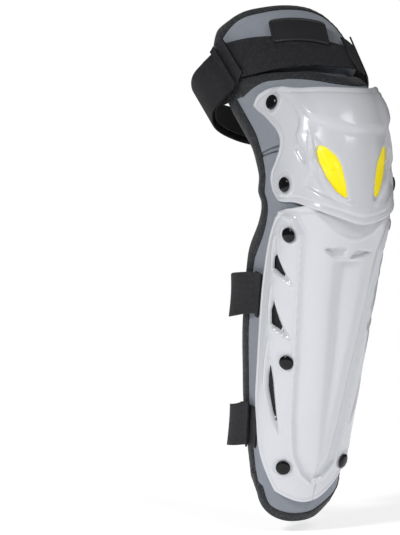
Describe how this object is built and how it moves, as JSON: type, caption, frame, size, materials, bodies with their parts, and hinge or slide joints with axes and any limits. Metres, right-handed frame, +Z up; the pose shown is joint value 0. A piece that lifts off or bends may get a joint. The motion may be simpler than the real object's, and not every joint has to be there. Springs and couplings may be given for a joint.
{
  "type": "motorcycle knee guard",
  "caption": "Padded guard for one knee and shin with a plastic knee cup, a vented shin plate and hook-in elastic straps.",
  "frame": {"origin": "middle of the wearer's knee, on the centre line of the leg", "axes": "+Z up, -Y the front of the guard, +X the outer side of the leg"},
  "size_m": [0.1975, 0.2475, 0.5292],
  "materials": {
    "shell": "glossy light grey moulded plastic",
    "grey_fabric": "grey knitted fabric over foam",
    "black_tape": "charcoal woven tape and elastic",
    "black_rubber": "matt moulded rubber",
    "black_plastic": "glossy black moulded plastic",
    "yellow_plastic": "bright yellow plastic"
  },
  "bodies": {
    "root": {"body_pad": "grey_fabric", "body_pad_binding": "black_tape", "thigh_flap": "grey_fabric", "thigh_flap_binding": "black_tape", "thigh_front_band": "black_tape", "label_patch": "black_rubber", "knee_cup": "shell", "vent_insert_inner": "yellow_plastic", "vent_insert_outer": "yellow_plastic", "shin_plate": "shell", "rivet_01": "black_plastic", "rivet_02": "black_plastic", "rivet_03": "black_plastic", "rivet_04": "black_plastic", "rivet_05": "black_plastic", "rivet_06": "black_plastic", "rivet_07": "black_plastic", "rivet_08": "black_plastic", "rivet_09": "black_plastic", "rivet_10": "black_plastic", "rivet_11": "black_plastic", "calf_upper_outer_tab": "black_tape", "calf_upper_ring": "black_plastic", "calf_upper_hook": "black_plastic", "calf_upper_band": "black_tape", "calf_upper_inner_tab": "black_tape", "calf_lower_outer_tab": "black_tape", "calf_lower_ring": "black_plastic", "calf_lower_hook": "black_plastic", "calf_lower_band": "black_tape", "calf_lower_inner_tab": "black_tape", "thigh_outer_tab": "black_tape", "thigh_ring": "black_plastic", "thigh_hook": "black_plastic", "thigh_band": "black_tape", "thigh_inner_tab": "black_tape"}
  },
  "joints": []
}
